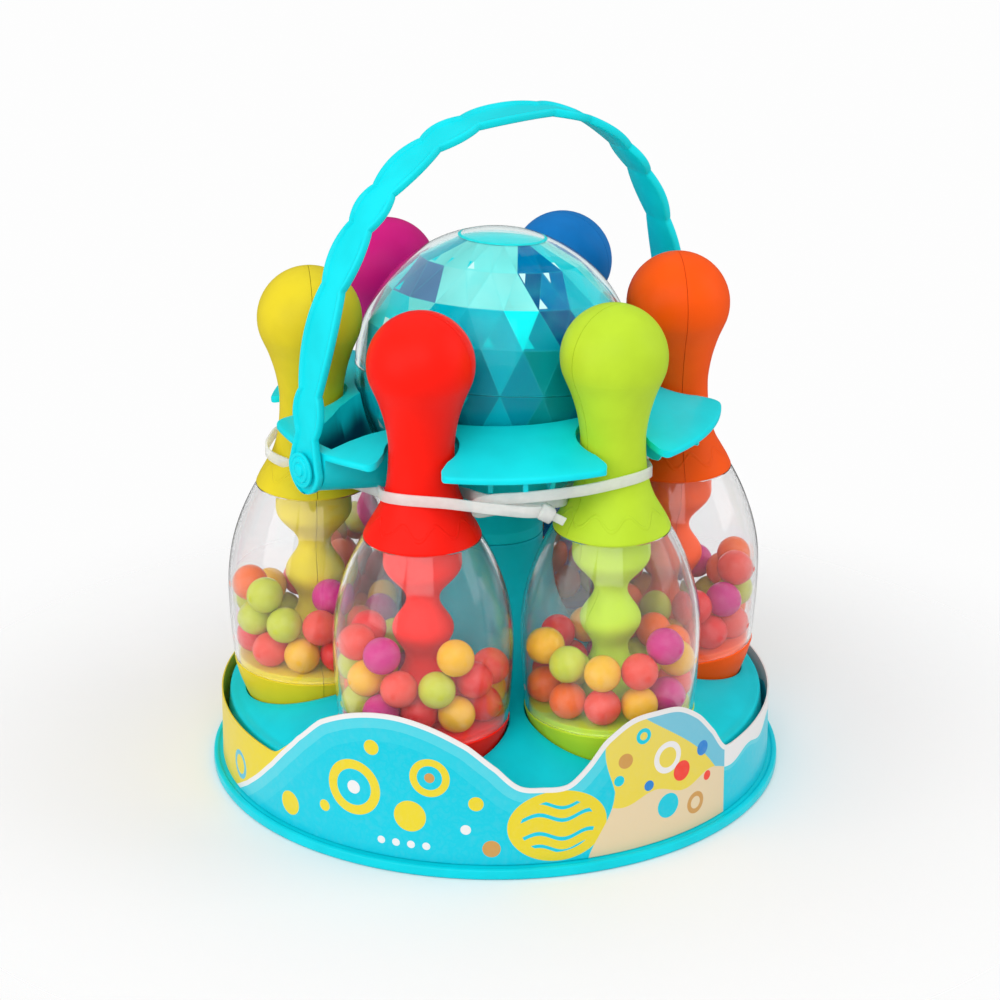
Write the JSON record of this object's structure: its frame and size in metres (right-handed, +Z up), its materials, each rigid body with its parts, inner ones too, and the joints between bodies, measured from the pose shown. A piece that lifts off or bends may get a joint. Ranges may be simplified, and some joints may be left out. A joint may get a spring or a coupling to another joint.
{
  "type": "toy bowling set",
  "caption": "Children's bowling set: bead-filled pins and a faceted ball stowed in a round carrier with a swinging arched handle.",
  "frame": {"origin": "middle of the carrier's footprint, on the surface it stands on", "axes": "+Z up; +X through the handle's right pivot; the green pin stands at -Y"},
  "size_m": [0.255, 0.2536, 0.2979],
  "materials": {
    "tray_turquoise": "moulded turquoise plastic, satin with a fine moulding grain",
    "turquoise": "moulded bright turquoise plastic, smooth and softly glossy",
    "screw_steel": "plain zinc plated steel",
    "card_print": "coated board printed in turquoise, yellow and white, half gloss",
    "nylon": "natural nylon strap, milky and slightly see-through",
    "ball_clear": "clear moulded plastic, polished",
    "ball_liner": "translucent teal plastic moulded in flat triangular facets",
    "ball_disc": "smooth turquoise plastic",
    "pin_clear": "clear moulded plastic, polished",
    "beads": "round glossy beads in red, orange, amber, lime and magenta",
    "pin_blue": "blue moulded plastic, satin and soft to the touch",
    "pin_magenta": "magenta moulded plastic, satin and soft to the touch",
    "pin_yellow": "yellow moulded plastic, satin and soft to the touch",
    "pin_red": "red moulded plastic, satin and soft to the touch",
    "pin_green": "green moulded plastic, satin and soft to the touch",
    "pin_orange": "orange moulded plastic, satin and soft to the touch"
  },
  "bodies": {
    "carrier": {"base_ring": "tray_turquoise", "base_tray": "tray_turquoise", "tray_column": "tray_turquoise", "upper_carrier": "turquoise", "carrier_screw": "screw_steel", "printed_card": "card_print", "cable_tie_left": "nylon", "cable_tie_right": "nylon", "cable_tie_back": "nylon"},
    "handle": {"carry_handle": "turquoise", "handle_pivot_left": "turquoise", "handle_pivot_right": "turquoise"},
    "ball": {"ball_upper_half": "ball_clear", "ball_lower_half": "ball_clear", "ball_liner_upper": "ball_liner", "ball_liner_lower": "ball_liner", "ball_top_disc": "ball_disc"},
    "pin_blue": {"pin_blue_core_outer": "pin_blue", "pin_blue_core_inner": "pin_blue", "pin_blue_shell_outer": "pin_clear", "pin_blue_shell_inner": "pin_clear", "pin_blue_beads": "beads"},
    "pin_magenta": {"pin_magenta_core_outer": "pin_magenta", "pin_magenta_core_inner": "pin_magenta", "pin_magenta_shell_outer": "pin_clear", "pin_magenta_shell_inner": "pin_clear", "pin_magenta_beads": "beads"},
    "pin_yellow": {"pin_yellow_core_outer": "pin_yellow", "pin_yellow_core_inner": "pin_yellow", "pin_yellow_shell_outer": "pin_clear", "pin_yellow_shell_inner": "pin_clear", "pin_yellow_beads": "beads"},
    "pin_red": {"pin_red_core_outer": "pin_red", "pin_red_core_inner": "pin_red", "pin_red_shell_outer": "pin_clear", "pin_red_shell_inner": "pin_clear", "pin_red_beads": "beads"},
    "pin_green": {"pin_green_core_outer": "pin_green", "pin_green_core_inner": "pin_green", "pin_green_shell_outer": "pin_clear", "pin_green_shell_inner": "pin_clear", "pin_green_beads": "beads"},
    "pin_orange": {"pin_orange_core_outer": "pin_orange", "pin_orange_core_inner": "pin_orange", "pin_orange_shell_outer": "pin_clear", "pin_orange_shell_inner": "pin_clear", "pin_orange_beads": "beads"}
  },
  "joints": [
    {"name": "handle_swing", "type": "hinge", "parent": "carrier", "child": "handle", "pos_m": [0, 0, 0.1576], "axis": [1, 0, 0], "range_deg": [-18.5, 11.5]},
    {"name": "ball_spin", "type": "hinge", "parent": "carrier", "child": "ball", "pos_m": [0, 0, 0.1819], "axis": [0, 0, 1], "continuous": true},
    {"name": "pin_blue_tilt", "type": "hinge", "parent": "carrier", "child": "pin_blue", "pos_m": [0.0963, 0.0556, 0.037], "axis": [-0.5, 0.866, 0], "range_deg": [0, 13], "deforming": ["cable_tie_back"]},
    {"name": "pin_magenta_tilt", "type": "hinge", "parent": "carrier", "child": "pin_magenta", "pos_m": [0, 0.1112, 0.037], "axis": [-1, 0, 0], "range_deg": [0, 13], "deforming": ["cable_tie_back"]},
    {"name": "pin_yellow_tilt", "type": "hinge", "parent": "carrier", "child": "pin_yellow", "pos_m": [-0.0963, 0.0556, 0.037], "axis": [-0.5, -0.866, 0], "range_deg": [0, 13], "deforming": ["cable_tie_left"]},
    {"name": "pin_red_tilt", "type": "hinge", "parent": "carrier", "child": "pin_red", "pos_m": [-0.0963, -0.0556, 0.037], "axis": [0.5, -0.866, 0], "range_deg": [0, 6], "deforming": ["cable_tie_left"]},
    {"name": "pin_green_tilt", "type": "hinge", "parent": "carrier", "child": "pin_green", "pos_m": [0, -0.1112, 0.037], "axis": [1, 0, 0], "range_deg": [0, 6], "deforming": ["cable_tie_right"]},
    {"name": "pin_orange_tilt", "type": "hinge", "parent": "carrier", "child": "pin_orange", "pos_m": [0.0963, -0.0556, 0.037], "axis": [0.5, 0.866, 0], "range_deg": [0, 13], "deforming": ["cable_tie_right"]}
  ]
}
